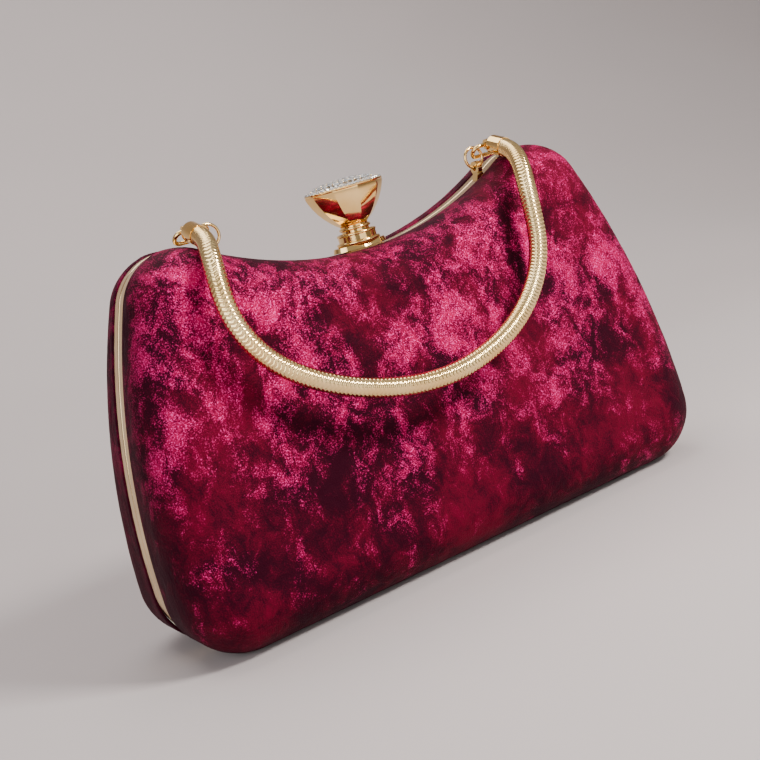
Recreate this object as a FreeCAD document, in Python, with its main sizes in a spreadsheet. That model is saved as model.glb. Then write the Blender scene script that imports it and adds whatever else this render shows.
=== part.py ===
"""Hard-shell clutch purse: two velvet domes on metal frames, a jewelled press clasp and a snake-chain handle.

Frame: millimetres, +Z up, +X to the wearer's right of the front view, front face towards -Y.
The seam between the two halves is the plane y = 0 and the purse stands on z = 0.
"""
import FreeCAD, Part
import math
import os

import Sketcher
from FreeCAD import Placement, Rotation, Vector

doc = FreeCAD.newDocument("clutch")
sheet = doc.addObject("Spreadsheet::Sheet", "dims")

DIMS = {
    # outline of the purse in the seam plane
    "half_width": 100.0,
    "widest_height": 24.0,
    "side_radius": 233.0,
    "corner_radius": 20.0,
    "hump_radius": 18.5,
    "hump_height": 120.5,
    "saddle_radius": 115.7,
    # depth of one half
    "mid_depth": 27.0,
    "mid_height": 60.0,
    "lean_angle": 6.5,
    "dome_radius": 16.0,
    "pad_length": 60.0,
    # layers of a half, as distances inside the velvet surface
    "cover_inset": 1.0,
    "padding_inset": 2.6,
    "shell_inset": 4.2,
    "lining_inset": 4.7,
    "pocket_inset": 5.0,
    "pocket_back": 5.6,
    "pocket_half": 52.0,
    "pocket_low": 24.0,
    "pocket_high": 78.0,
    # frame rims
    "rim_width": 4.3,
    "rim_recess": 0.4,
    "band_inset": 1.6,
    "plate_inset": 1.1,
    "band_rounding": 0.6,
    "flange_inset": 5.1,
    "flange_inner": 6.0,
    "rim_bottom": 2.0,
    "plate_thickness": 1.1,
    "flange_depth": 9.0,
    "seam_gap": 0.1,
    "notch_half": 3.2,
    "notch_depth": 2.6,
    "notch_floor": 95.0,
    "notch_height": 12.0,
    # bottom hinges
    "hinge_place": 48.0,
    "knuckle_length": 8.0,
    "knuckle_gap": 0.1,
    "knuckle_radius": 1.85,
    "knuckle_room": 2.15,
    "pin_radius": 0.8,
    "hinge_play": 0.05,
    "leaf_thickness": 0.8,
    "leaf_reach": 4.1,
    # clasp
    "base_long": 9.8,
    "base_short": 5.9,
    "base_low": 103.4,
    "base_thickness": 1.5,
    "foot_half": 6.0,
    "foot_inner": 0.4,
    "collar_radius": 6.4,
    "collar_top": 108.3,
    "collar_bore": 4.7,
    "stem_radius": 4.65,
    "stem_low": 106.3,
    "stem_top": 111.0,
    "rod_radius": 1.5,
    "rod_bore": 1.8,
    "hook_low": 92.0,
    "hook_thickness": 1.2,
    "hook_half": 2.4,
    "hook_reach": 4.2,
    "tip_thickness": 0.8,
    "tip_rise": 0.4,
    "catch_low": 93.8,
    "catch_front": 2.2,
    "catch_half": 5.0,
    "catch_plate": 1.0,
    "catch_back": 8.6,
    "cup_low_long": 6.6,
    "cup_low_short": 5.6,
    "cup_low": 112.6,
    "cup_mid_long": 11.4,
    "cup_mid_short": 8.0,
    "cup_mid": 117.6,
    "cup_long": 14.0,
    "cup_short": 9.3,
    "cup_top": 123.2,
    "bezel_height": 1.3,
    "bezel_wall": 1.3,
    "stone_rise": 3.1,
    "stone_gap": 0.1,
    # handle fittings
    "lug_place": 51.0,
    "lug_depth": -2.3,
    "eye_height": 117.3,
    "lug_radius": 2.3,
    "lug_thickness": 1.8,
    "lug_bore": 0.95,
    "foot_length": 5.4,
    "foot_width": 3.4,
    "foot_top": 116.0,
    "ring_radius": 3.5,
    "ring_wire": 0.5,
    "link_inner": 51.0,
    "link_outer": 62.6,
    "link_half": 2.41,
    "link_wire": 0.7,
    "link_depth": -2.4,
    "link_height": 122.4,
    "link_pitch": 48.0,
    "barrel_place": 57.6,
    "barrel_length": 3.4,
    "barrel_radius": 1.75,
    "barrel_bore": 0.78,
    "cap_angle": 72.0,
    "neck_radius": 1.5,
    "neck_length": 3.0,
    "cap_start": 2.2,
    "cap_length": 6.0,
    "cap_radius": 3.25,
    "chain_radius": 3.0,
}
# Points the snake chain's centre line is drawn through between the end caps, from left to right.
ROUTE = [
    (-57.6, -18.85, 119.25),
    (-58.3, -26.0, 114.1),
    (-60.3, -30.5, 106.3),
    (-62.4, -31.6, 98.2),
    (-61.4, -33.0, 89.8),
    (-57.0, -34.5, 82.2),
    (-49.8, -36.6, 75.2),
    (-40.2, -38.7, 69.2),
    (-28.8, -40.8, 64.6),
    (-16.0, -42.3, 61.6),
    (-2.6, -42.8, 61.2),
    (10.4, -41.8, 63.4),
    (22.2, -40.2, 67.4),
    (32.4, -37.8, 73.4),
    (40.6, -35.4, 80.8),
    (46.6, -33.6, 89.0),
    (50.6, -31.9, 97.8),
    (54.9, -30.6, 106.0),
    (57.0, -26.0, 114.1),
    (57.6, -18.85, 119.25),
]
for number, point in enumerate(ROUTE, start=1):
    for axis, value in zip("xyz", point):
        DIMS[f"route_{number}_{axis}"] = value
for row, (alias, value) in enumerate(DIMS.items(), start=1):
    sheet.set(f"A{row}", alias)
    sheet.set(f"B{row}", str(value))
    sheet.setAlias(f"B{row}", alias)
doc.recompute()


def dim(alias):
    """The value of one driving dimension."""
    return float(sheet.get(alias))


def bind(thing, **sizes):
    """Bind an object's properties to expressions over the sheet's cells."""
    for prop, expression in sizes.items():
        thing.setExpression(prop, expression)
    return thing


nodes = {}


def node(thing, name):
    """Name an object as one of the purse's sub-parts."""
    thing.Label = name
    nodes[name] = thing
    return thing


# ---------------------------------------------------------------- sketches


def plane_sketch(body, role, name, offset=0.0):
    """A sketch on one of a body's origin planes, moved along the plane's normal."""
    sketch = body.newObject("Sketcher::SketchObject", name)
    plane = next(f for f in body.Origin.OriginFeatures if f.Role == role)
    sketch.AttachmentSupport = [(plane, "")]
    sketch.MapMode = "FlatFace"
    sketch.AttachmentOffset = Placement(Vector(0, 0, offset), Rotation())
    return sketch


def outline_arcs(inset, bottom):
    """Centres, radii and end angles of the purse's outline, counter-clockwise from the bottom line."""
    side = Vector(dim("half_width") - dim("side_radius"), dim("widest_height"), 0)
    side_r = dim("side_radius") - inset
    corner_r = dim("corner_radius") - inset
    hump_r = dim("hump_radius") - inset
    saddle_r = dim("saddle_radius") + inset
    corner_y = bottom + corner_r
    corner_x = side.x + math.sqrt((side_r - corner_r) ** 2 - (corner_y - side.y) ** 2)
    hump_y = dim("hump_height") - dim("hump_radius")
    hump_x = side.x + math.sqrt((side_r - hump_r) ** 2 - (hump_y - side.y) ** 2)
    saddle_y = hump_y + math.sqrt((saddle_r + hump_r) ** 2 - hump_x**2)
    low = math.atan2(corner_y - side.y, corner_x - side.x)
    high = math.atan2(hump_y - side.y, hump_x - side.x)
    top = math.atan2(saddle_y - hump_y, -hump_x)
    right = [
        (Vector(corner_x, corner_y, 0), corner_r, -math.pi / 2, low),
        (side, side_r, low, high),
        (Vector(hump_x, hump_y, 0), hump_r, high, top),
    ]
    left = [(Vector(-c.x, c.y, 0), r, math.pi - b, math.pi - a) for c, r, a, b in reversed(right)]
    saddle = (Vector(0, saddle_y, 0), saddle_r, -top, top - math.pi)
    return right, saddle, left


def saddle_level(x, inset):
    """Height of the saddle's curve at a distance from the middle."""
    _, (centre, radius, _, _), _ = outline_arcs(inset, 0.0)
    return centre.y - math.sqrt(radius**2 - x**2)


def draw_outline(sketch, tag, inset, bottom):
    """Draw the closed outline in a sketch, with every size bound to the sheet.

    inset and bottom are expressions: how far inside the velvet surface it lies, and its lowest level.
    """
    inset_now = value_of(inset)
    bottom_now = value_of(bottom)
    right, saddle, left = outline_arcs(inset_now, bottom_now)
    line = sketch.addGeometry(
        Part.LineSegment(Vector(-right[0][0].x, bottom_now, 0), Vector(right[0][0].x, bottom_now, 0))
    )
    arcs = []
    for centre, radius, start, end in right + [saddle] + left:
        circle = Part.Circle(centre, Vector(0, 0, 1), radius)
        arcs.append(sketch.addGeometry(Part.ArcOfCircle(circle, start, end)))
    corner, side, hump, dip, left_hump, left_side, left_corner = arcs
    joins = [
        (line, 2, corner, 1),
        (corner, 2, side, 1),
        (side, 2, hump, 1),
        (hump, 2, dip, 2),
        (dip, 1, left_hump, 1),
        (left_hump, 2, left_side, 1),
        (left_side, 2, left_corner, 1),
        (left_corner, 2, line, 1),
    ]
    for a, a_end, b, b_end in joins:
        sketch.addConstraint(Sketcher.Constraint("Tangent", a, a_end, b, b_end))
    sketch.addConstraint(Sketcher.Constraint("Horizontal", line))
    for a, b in ((corner, left_corner), (side, left_side), (hump, left_hump)):
        sketch.addConstraint(Sketcher.Constraint("Equal", a, b))
    sketch.addConstraint(Sketcher.Constraint("Symmetric", side, 3, left_side, 3, -2))
    sketch.addConstraint(Sketcher.Constraint("PointOnObject", dip, 3, -2))
    sized = [
        ("bottom", Sketcher.Constraint("DistanceY", -1, 1, line, 1, bottom_now), bottom),
        ("corner_radius", Sketcher.Constraint("Radius", corner, right[0][1]), f"dims.corner_radius - ({inset})"),
        ("side_radius", Sketcher.Constraint("Radius", side, right[1][1]), f"dims.side_radius - ({inset})"),
        ("hump_radius", Sketcher.Constraint("Radius", hump, right[2][1]), f"dims.hump_radius - ({inset})"),
        ("saddle_radius", Sketcher.Constraint("Radius", dip, saddle[1]), f"dims.saddle_radius + ({inset})"),
        ("side_x", Sketcher.Constraint("DistanceX", side, 3, -1, 1, -right[1][0].x),
         "dims.side_radius - dims.half_width"),
        ("side_y", Sketcher.Constraint("DistanceY", -1, 1, side, 3, right[1][0].y), "dims.widest_height"),
        ("hump_y", Sketcher.Constraint("DistanceY", -1, 1, hump, 3, right[2][0].y),
         "dims.hump_height - dims.hump_radius"),
    ]
    for name, constraint, expression in sized:
        index = sketch.addConstraint(constraint)
        sketch.renameConstraint(index, f"{tag}_{name}")
        sketch.setExpression(f"Constraints.{tag}_{name}", expression)


def value_of(expression):
    """The number that an expression over the sheet gives now."""
    names = {alias: dim(alias) for alias in DIMS}
    total = 0.0
    for term in expression.replace("-", "+-").replace(" ", "").split("+"):
        if term:
            sign = -1.0 if term.startswith("-") else 1.0
            word = term.lstrip("-").replace("dims.", "")
            total += sign * (names[word] if word in names else float(word))
    return total


# ---------------------------------------------------------------- layers of a half


def outline_pad(name, loops, offset, length):
    """A body padded towards the front from one or two nested outlines, each (inset, bottom)."""
    body = doc.addObject("PartDesign::Body", name)
    sketch = plane_sketch(body, "XZ_Plane", f"{name}_outline", value_of(offset))
    for tag, (inset, bottom) in zip(("outer", "inner"), loops):
        draw_outline(sketch, tag, inset, bottom)
    pad = body.newObject("PartDesign::Pad", f"{name}_pad")
    pad.Profile = sketch
    bind(pad, Length=length)
    doc.recompute()
    return body


def face_depth(inset, level):
    """How far the leaning front face stands from the seam at a level."""
    lean = math.radians(dim("lean_angle"))
    return dim("mid_depth") - inset / math.cos(lean) + (dim("mid_height") - level) * math.tan(lean)


def dome(name, inset):
    """A solid half of the purse, a given distance inside the velvet surface."""
    body = outline_pad(name, [(inset, inset)], "0.0", "dims.pad_length")
    inset_now = value_of(inset)
    cut = plane_sketch(body, "YZ_Plane", f"{name}_face")
    low, high, far = -20.0, 150.0, -90.0
    corners = [(-face_depth(inset_now, low), low), (-face_depth(inset_now, high), high), (far, high), (far, low)]
    lines = []
    for a, b in zip(corners, corners[1:] + corners[:1]):
        lines.append(cut.addGeometry(Part.LineSegment(Vector(*a, 0), Vector(*b, 0))))
    for a, b in zip(lines, lines[1:] + lines[:1]):
        cut.addConstraint(Sketcher.Constraint("Coincident", a, 2, b, 1))
    mid = cut.addGeometry(Part.Point(Vector(-face_depth(inset_now, dim("mid_height")), dim("mid_height"), 0)), True)
    cut.addConstraint(Sketcher.Constraint("PointOnObject", mid, 1, lines[0]))
    cut.addConstraint(Sketcher.Constraint("Horizontal", lines[1]))
    cut.addConstraint(Sketcher.Constraint("Vertical", lines[2]))
    cut.addConstraint(Sketcher.Constraint("Horizontal", lines[3]))
    depth_here = face_depth(inset_now, dim("mid_height"))
    sized = [
        ("low", Sketcher.Constraint("DistanceY", lines[0], 1, -1, 1, -low), None),
        ("high", Sketcher.Constraint("DistanceY", -1, 1, lines[0], 2, high), None),
        ("far", Sketcher.Constraint("DistanceX", lines[2], 1, -1, 1, -far), None),
        ("lean", Sketcher.Constraint("Angle", lines[0], math.radians(90 - dim("lean_angle"))),
         "(90 - dims.lean_angle) * 1 deg"),
        ("level", Sketcher.Constraint("DistanceY", -1, 1, mid, 1, dim("mid_height")), "dims.mid_height"),
        ("depth", Sketcher.Constraint("DistanceX", mid, 1, -1, 1, depth_here),
         f"dims.mid_depth - ({inset}) / cos(dims.lean_angle * 1 deg)"),
    ]
    for tag, constraint, expression in sized:
        index = cut.addConstraint(constraint)
        cut.renameConstraint(index, tag)
        if expression:
            cut.setExpression(f"Constraints.{tag}", expression)
    pocket = body.newObject("PartDesign::Pocket", f"{name}_cut")
    pocket.Profile = cut
    pocket.Midplane = True
    bind(pocket, Length="dims.half_width * 4")
    doc.recompute()
    front_edges = []
    for number, edge in enumerate(pocket.Shape.Edges, start=1):
        ends = [v.Point for v in edge.Vertexes]
        if all(abs(p.y + face_depth(inset_now, p.z)) < 1e-3 for p in ends):
            front_edges.append(f"Edge{number}")
    fillet = body.newObject("PartDesign::Fillet", f"{name}_fillet")
    fillet.Base = (pocket, front_edges)
    bind(fillet, Radius=f"dims.dome_radius - ({inset})")
    doc.recompute()
    return body


def box(name, x, y, z):
    """A box between pairs of coordinates, each given as a pair of expressions."""
    thing = doc.addObject("Part::Box", name)
    bind(
        thing,
        Length=f"({x[1]}) - ({x[0]})",
        Width=f"({y[1]}) - ({y[0]})",
        Height=f"({z[1]}) - ({z[0]})",
    )
    for axis, low in zip("xyz", (x[0], y[0], z[0])):
        thing.setExpression(f"Placement.Base.{axis}", low)
    return thing


def cylinder(name, radius, length, start, turn=Rotation()):
    """A cylinder from a start point, along +Z before it is turned."""
    thing = doc.addObject("Part::Cylinder", name)
    bind(thing, Radius=radius, Height=length)
    thing.Placement = Placement(Vector(0, 0, 0), turn)
    for axis, place in zip("xyz", start):
        thing.setExpression(f"Placement.Base.{axis}", place)
    return thing


ALONG_X = Rotation(Vector(0, 1, 0), 90)


def cut(name, base, *tools):
    """What is left of one object after cutting others from it."""
    for number, tool in enumerate(tools):
        last = doc.addObject("Part::Cut", name if number == len(tools) - 1 else f"{name}_{number}")
        last.Base, last.Tool = base, tool
        base = last
    return base


def fuse(name, *things):
    """Several objects joined into one solid."""
    whole = doc.addObject("Part::MultiFuse", name)
    whole.Shapes = list(things)
    return whole


def common(name, base, tool):
    """The overlap of two objects."""
    whole = doc.addObject("Part::Common", name)
    whole.Base, whole.Tool = base, tool
    return whole


def mirror(name, source, normal):
    """A mirror image about a plane through the origin."""
    copy = doc.addObject("Part::Mirroring", name)
    copy.Source = source
    copy.Normal = normal
    return copy


BACKWARDS = Vector(0, 1, 0)
SIDEWAYS = Vector(1, 0, 0)

insets = {
    "velvet": "0.0",
    "cover": "dims.cover_inset",
    "padding": "dims.padding_inset",
    "shell": "dims.shell_inset",
    "lining": "dims.lining_inset",
    "pocket": "dims.pocket_inset",
    "pocket_back": "dims.pocket_back",
}
domes = {name: dome(f"dome_{name}", inset) for name, inset in insets.items()}
seam_room = box(
    "seam_room",
    ("-dims.half_width - 5", "dims.half_width + 5"),
    ("-dims.rim_width", "dims.rim_width"),
    ("-5", "dims.hump_height + 5"),
)
layers = [("cover", "velvet", "cover"), ("padding", "cover", "padding"), ("shell", "padding", "shell"),
          ("lining", "shell", "lining")]
for layer, outside, inside in layers:
    front = node(cut(f"front_{layer}", domes[outside], domes[inside], seam_room), f"front_{layer}")
    node(mirror(f"back_{layer}", front, BACKWARDS), f"back_{layer}")

pocket_window = box(
    "pocket_window",
    ("-dims.pocket_half", "dims.pocket_half"),
    ("-dims.mid_depth * 2", "-dims.flange_depth"),
    ("dims.pocket_low", "dims.pocket_high"),
)
pocket_sheet = common("pocket_sheet", cut("pocket_layer", domes["pocket"], domes["pocket_back"]), pocket_window)
node(mirror("slip_pocket", pocket_sheet, BACKWARDS), "slip_pocket")

# ---------------------------------------------------------------- frame rims


def rim_loop(inset):
    """One outline of the rim family, whose bottom is raised above the hinge leaves."""
    return inset, f"dims.rim_bottom + {inset} - dims.rim_recess"


def round_outer_edges(body, radius):
    """Fillet the edges round the outside of a padded loop's two flat faces."""
    pad = body.Tip
    ends = [face for face in pad.Shape.Faces if abs(face.normalAt(0, 0).y) > 0.99]
    around = [edge for face in ends for edge in face.OuterWire.Edges]
    names = [f"Edge{i}" for i, edge in enumerate(pad.Shape.Edges, 1) if any(edge.isSame(other) for other in around)]
    fillet = body.newObject("PartDesign::Fillet", f"{body.Name}_fillet")
    fillet.Base = (pad, names)
    bind(fillet, Radius=radius)
    doc.recompute()


plate = outline_pad("plate", [rim_loop("dims.plate_inset"), rim_loop("dims.flange_inner")], "dims.seam_gap",
                    "dims.plate_thickness")
band = outline_pad("band", [rim_loop("dims.rim_recess"), rim_loop("dims.band_inset")], "dims.seam_gap",
                   "dims.rim_width - dims.seam_gap")
round_outer_edges(band, "dims.band_rounding")
flange = outline_pad("flange", [rim_loop("dims.flange_inset"), rim_loop("dims.flange_inner")], "dims.seam_gap",
                     "dims.flange_depth - dims.seam_gap")
rim_form = outline_pad("rim_form", [rim_loop("dims.rim_recess")], "0.0", "dims.rim_width")
rim = fuse("rim", plate, band, flange)

AXLE = ("0", "dims.rim_bottom")
half_hinge = "dims.knuckle_length * 1.5"


def hinge_rod(name, radius, start, length):
    """A cylinder on the hinge axis, from one x to another along +X."""
    return cylinder(name, radius, length, (start, *AXLE), ALONG_X)


hinge_room = hinge_rod("hinge_room", "dims.knuckle_room", f"dims.hinge_place - {half_hinge} - 0.3",
                       "dims.knuckle_length * 3 + 0.6")
hinge_room_left = mirror("hinge_room_left", hinge_room, SIDEWAYS)
notch = box(
    "notch",
    ("-dims.notch_half", "dims.notch_half"),
    ("-dims.notch_depth", "dims.notch_depth"),
    ("dims.notch_floor", "dims.notch_floor + dims.notch_height"),
)
front_frame = node(cut("front_frame", rim, hinge_room, hinge_room_left, notch), "front_frame")
node(mirror("back_frame", front_frame, BACKWARDS), "back_frame")

# ---------------------------------------------------------------- hinges at the bottom

leaf_x = (f"dims.hinge_place - {half_hinge}", f"dims.hinge_place + {half_hinge}")
leaf_z = ("dims.rim_bottom - dims.leaf_thickness", "dims.rim_bottom")
front_plate = box("front_leaf_plate", leaf_x, ("-dims.leaf_reach", "0"), leaf_z)
back_plate = box("back_leaf_plate", leaf_x, ("0", "dims.leaf_reach"), leaf_z)
outer_knuckles = hinge_rod("outer_knuckles", "dims.knuckle_radius", leaf_x[0], "dims.knuckle_length * 3")
middle_room = hinge_rod("middle_room", "dims.knuckle_room",
                        "dims.hinge_place - dims.knuckle_length / 2 - dims.knuckle_gap",
                        "dims.knuckle_length + dims.knuckle_gap * 2")
middle_knuckle = hinge_rod("middle_knuckle", "dims.knuckle_radius", "dims.hinge_place - dims.knuckle_length / 2",
                           "dims.knuckle_length")
near_room = hinge_rod("near_room", "dims.knuckle_room", f"{leaf_x[0]} - 1", "dims.knuckle_length + 1")
far_room = hinge_rod("far_room", "dims.knuckle_room", "dims.hinge_place + dims.knuckle_length / 2",
                     "dims.knuckle_length + 1")
front_bore = hinge_rod("front_bore", "dims.pin_radius", f"{leaf_x[0]} - 1", "dims.knuckle_length * 3 + 2")
back_bore = hinge_rod("back_bore", "dims.pin_radius + dims.hinge_play", f"{leaf_x[0]} - 1",
                      "dims.knuckle_length * 3 + 2")
front_leaf = cut("right_hinge_front_leaf", fuse("front_leaf_blank", front_plate, outer_knuckles), middle_room,
                 front_bore)
back_leaf = cut("right_hinge_back_leaf", fuse("back_leaf_blank", cut("back_leaf_flat", back_plate, near_room, far_room),
                                              middle_knuckle), back_bore)
pin = hinge_rod("right_hinge_pin", "dims.pin_radius", leaf_x[0], "dims.knuckle_length * 3")
for name, thing in (("hinge_front_leaf", front_leaf), ("hinge_back_leaf", back_leaf), ("hinge_pin", pin)):
    node(thing, f"right_{name}")
    node(mirror(f"left_{name}", thing, SIDEWAYS), f"left_{name}")

# ---------------------------------------------------------------- clasp


def ellipse(name, long, short, level):
    """A level ellipse around the clasp's axis."""
    thing = doc.addObject("Part::Ellipse", name)
    bind(thing, MajorRadius=long, MinorRadius=short)
    thing.setExpression("Placement.Base.z", level)
    return thing


def oval_solid(name, sections, ruled=False):
    """A solid through level ellipses, each (half length, half width, level)."""
    thing = doc.addObject("Part::Loft", name)
    thing.Sections = [ellipse(f"{name}_{n}", *section) for n, section in enumerate(sections)]
    thing.Solid = True
    thing.Ruled = ruled
    return thing


def upright(name, radius, low, high):
    """A vertical cylinder on the clasp's axis."""
    return cylinder(name, radius, f"({high}) - ({low})", ("0", "0", low))


base_top = "dims.base_low + dims.base_thickness"
base_plate = oval_solid("base_plate", [("dims.base_long", "dims.base_short", "dims.base_low"),
                                       ("dims.base_long - 0.5", "dims.base_short - 0.5", base_top)], True)
foot = box("foot", ("-dims.foot_half", "dims.foot_half"), ("-dims.rim_width + 0.1", "-dims.foot_inner"),
           ("dims.base_low - 3", "dims.base_low + 0.5"))
rod_hole = upright("rod_hole", "dims.rod_bore", "dims.hook_low", "dims.base_low + 10")
clasp_foot = cut("clasp_foot", foot, rim_form, notch)
node(cut("clasp_base", fuse("base_blank", base_plate, clasp_foot), rod_hole), "clasp_base")
collar_blank = upright("collar_blank", "dims.collar_radius", base_top, "dims.collar_top")
collar_hole = upright("collar_hole", "dims.collar_bore", "dims.base_low", "dims.collar_top + 1")
node(cut("clasp_collar", collar_blank, collar_hole), "clasp_collar")

node(upright("clasp_stem", "dims.stem_radius", "dims.stem_low", "dims.stem_top"), "clasp_stem")
node(upright("clasp_rod", "dims.rod_radius", "dims.hook_low + dims.hook_thickness", "dims.stem_low"), "clasp_rod")
hook_x = ("-dims.hook_half", "dims.hook_half")
hook_top = "dims.hook_low + dims.hook_thickness"
hook_bar = box("hook_bar", hook_x, ("-dims.rod_radius", "dims.hook_reach"), ("dims.hook_low", hook_top))
hook_tip = box("hook_tip", hook_x, ("dims.hook_reach - dims.tip_thickness", "dims.hook_reach"),
               ("dims.hook_low", f"{hook_top} + dims.tip_rise"))
node(fuse("clasp_hook", hook_bar, hook_tip), "clasp_hook")
node(
    oval_solid("clasp_cup", [
        ("dims.stem_radius", "dims.stem_radius - 0.01", "dims.stem_top"),
        ("dims.cup_low_long", "dims.cup_low_short", "dims.cup_low"),
        ("dims.cup_mid_long", "dims.cup_mid_short", "dims.cup_mid"),
        ("dims.cup_long", "dims.cup_short", "dims.cup_top"),
    ], True),
    "clasp_cup",
)
bezel_top = "dims.cup_top + dims.bezel_height"
bezel_blank = oval_solid("bezel_blank", [("dims.cup_long", "dims.cup_short", "dims.cup_top"),
                                         ("dims.cup_long", "dims.cup_short", bezel_top)], True)
bezel_hole = oval_solid("bezel_hole", [
    ("dims.cup_long - dims.bezel_wall", "dims.cup_short - dims.bezel_wall", "dims.cup_top - 1"),
    ("dims.cup_long - dims.bezel_wall", "dims.cup_short - dims.bezel_wall", f"{bezel_top} + 1"),
], True)
node(cut("clasp_bezel", bezel_blank, bezel_hole), "clasp_bezel")
stones = doc.addObject("Part::Ellipsoid", "clasp_stones")
stones.Angle1 = 0
bind(
    stones,
    Radius1="dims.stone_rise",
    Radius2="dims.cup_long - dims.bezel_wall - dims.stone_gap",
    Radius3="dims.cup_short - dims.bezel_wall - dims.stone_gap",
)
stones.setExpression("Placement.Base.z", "dims.cup_top")
node(stones, "clasp_stones")

catch_x = ("-dims.catch_half", "dims.catch_half")
catch_top = str(round(saddle_level(0.0, dim("flange_inner")), 3))
catch_lip = box("catch_lip", catch_x, ("dims.catch_front", "dims.catch_front + dims.catch_plate"),
                ("dims.catch_low", catch_top))
catch_plate = box("catch_plate_box", catch_x, ("dims.catch_front", "dims.catch_back"),
                  (f"{catch_top} - dims.catch_plate", catch_top))
node(fuse("clasp_catch", catch_lip, catch_plate), "clasp_catch")

# ---------------------------------------------------------------- handle fittings

lug_eye = cylinder("lug_eye", "dims.lug_radius", "dims.lug_thickness",
                   ("dims.lug_place - dims.lug_thickness / 2", "dims.lug_depth", "dims.eye_height"), ALONG_X)
lug_hole = cylinder("lug_hole", "dims.lug_bore", "dims.lug_thickness + 2",
                    ("dims.lug_place - dims.lug_thickness / 2 - 1", "dims.lug_depth", "dims.eye_height"), ALONG_X)
lug_foot = doc.addObject("Part::Wedge", "lug_foot")
bind(
    lug_foot,
    Xmin="-dims.foot_length / 2", Xmax="dims.foot_length / 2",
    X2min="-dims.lug_thickness / 2", X2max="dims.lug_thickness / 2",
    Zmin="-dims.foot_width / 2", Zmax="dims.foot_width / 2",
    Z2min="-dims.foot_width / 2 + 0.4", Z2max="dims.foot_width / 2 - 0.4",
    Ymin="0", Ymax="dims.foot_top - (dims.eye_height - 6)",
)
lug_foot.Placement = Placement(Vector(0, 0, 0), Rotation(Vector(1, 0, 0), 90))
for axis, place in zip("xyz", ("dims.lug_place", "dims.lug_depth", "dims.eye_height - 6")):
    lug_foot.setExpression(f"Placement.Base.{axis}", place)
lug = cut("right_ring_lug", fuse("lug_blank", lug_eye, cut("lug_leg", lug_foot, rim_form)), lug_hole)

ring = doc.addObject("Part::Torus", "right_ring")
bind(ring, Radius1="dims.ring_radius", Radius2="dims.ring_wire")
ring.Placement = Placement(Vector(0, 0, 0), Rotation(Vector(1, 0, 0), 90))
for axis, place in zip("xyz", ("dims.lug_place", "dims.lug_depth", "dims.eye_height + dims.ring_radius")):
    ring.setExpression(f"Placement.Base.{axis}", place)


def link_shape():
    """Centre line of the long link: two straight bars joined by half circles, in its own flat plane."""
    half = dim("link_half")
    inner, outer = dim("link_inner") + half, dim("link_outer") - dim("link_wire") - half
    low_a, low_b = Vector(inner, -half, 0), Vector(outer, -half, 0)
    top_a, top_b = Vector(inner, half, 0), Vector(outer, half, 0)
    edges = [
        Part.LineSegment(low_a, low_b).toShape(),
        Part.Arc(low_b, Vector(outer + half, 0, 0), top_b).toShape(),
        Part.LineSegment(top_b, top_a).toShape(),
        Part.Arc(top_a, Vector(inner - half, 0, 0), low_a).toShape(),
    ]
    return Part.Wire(edges)


def wire_section(name, radius, point, along):
    """A circle of bound radius around a point, square to a direction."""
    circle = doc.addObject("Part::Circle", name)
    bind(circle, Radius=radius)
    circle.Placement = Placement(point, Rotation(Vector(0, 0, 1), along))
    return circle


def sweep(name, path_shape, radius):
    """A round wire of bound radius swept along a path."""
    path = doc.addObject("Part::Feature", f"{name}_path")
    path.Shape = path_shape
    first = path_shape.Edges[0]
    start = first.valueAt(first.FirstParameter)
    along = first.tangentAt(first.FirstParameter)
    thing = doc.addObject("Part::Sweep", name)
    thing.Sections = [wire_section(f"{name}_section", radius, start, along)]
    thing.Spine = (path, [f"Edge{n + 1}" for n in range(len(path_shape.Edges))])
    thing.Solid = True
    thing.Frenet = False
    return thing


link = sweep("right_link", link_shape(), "dims.link_wire")
link.Placement = Placement(
    Vector(0, dim("link_depth"), dim("link_height")), Rotation(Vector(1, 0, 0), 90 + dim("link_pitch"))
)

pitch = math.radians(dim("link_pitch"))
swing_y = dim("link_depth") - dim("link_half") * math.sin(pitch)
swing_z = dim("link_height") + dim("link_half") * math.cos(pitch)
down = math.radians(dim("cap_angle"))
cap_dir = Vector(0, -math.sin(down), -math.cos(down))
cap_turn = Rotation(Vector(0, 0, 1), cap_dir)


def on_cap_axis(name, radius, start, length):
    """A cylinder along the end cap's axis, from a distance in front of the swing axis."""
    thing = doc.addObject("Part::Cylinder", name)
    bind(thing, Radius=radius, Height=length)
    where = Vector(dim("barrel_place"), swing_y, swing_z) + cap_dir * value_of(start)
    thing.Placement = Placement(where, cap_turn)
    return thing


barrel = doc.addObject("Part::Cylinder", "barrel")
bind(barrel, Radius="dims.barrel_radius", Height="dims.barrel_length")
barrel.Placement = Placement(
    Vector(dim("barrel_place") - dim("barrel_length") / 2, swing_y, swing_z), ALONG_X
)
barrel_hole = doc.addObject("Part::Cylinder", "barrel_hole")
bind(barrel_hole, Radius="dims.barrel_bore", Height="dims.barrel_length + 2")
barrel_hole.Placement = Placement(
    Vector(dim("barrel_place") - dim("barrel_length") / 2 - 1, swing_y, swing_z), ALONG_X
)
neck = on_cap_axis("neck", "dims.neck_radius", "0.0", "dims.neck_length")
cap = on_cap_axis("cap", "dims.cap_radius", "dims.cap_start", "dims.cap_length")
end_cap = cut("right_end_cap", fuse("cap_blank", barrel, neck, cap), barrel_hole)

for name, thing in (("ring_lug", lug), ("ring", ring), ("link", link), ("end_cap", end_cap)):
    node(thing, f"right_{name}")
    node(mirror(f"left_{name}", thing, SIDEWAYS), f"left_{name}")


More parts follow.
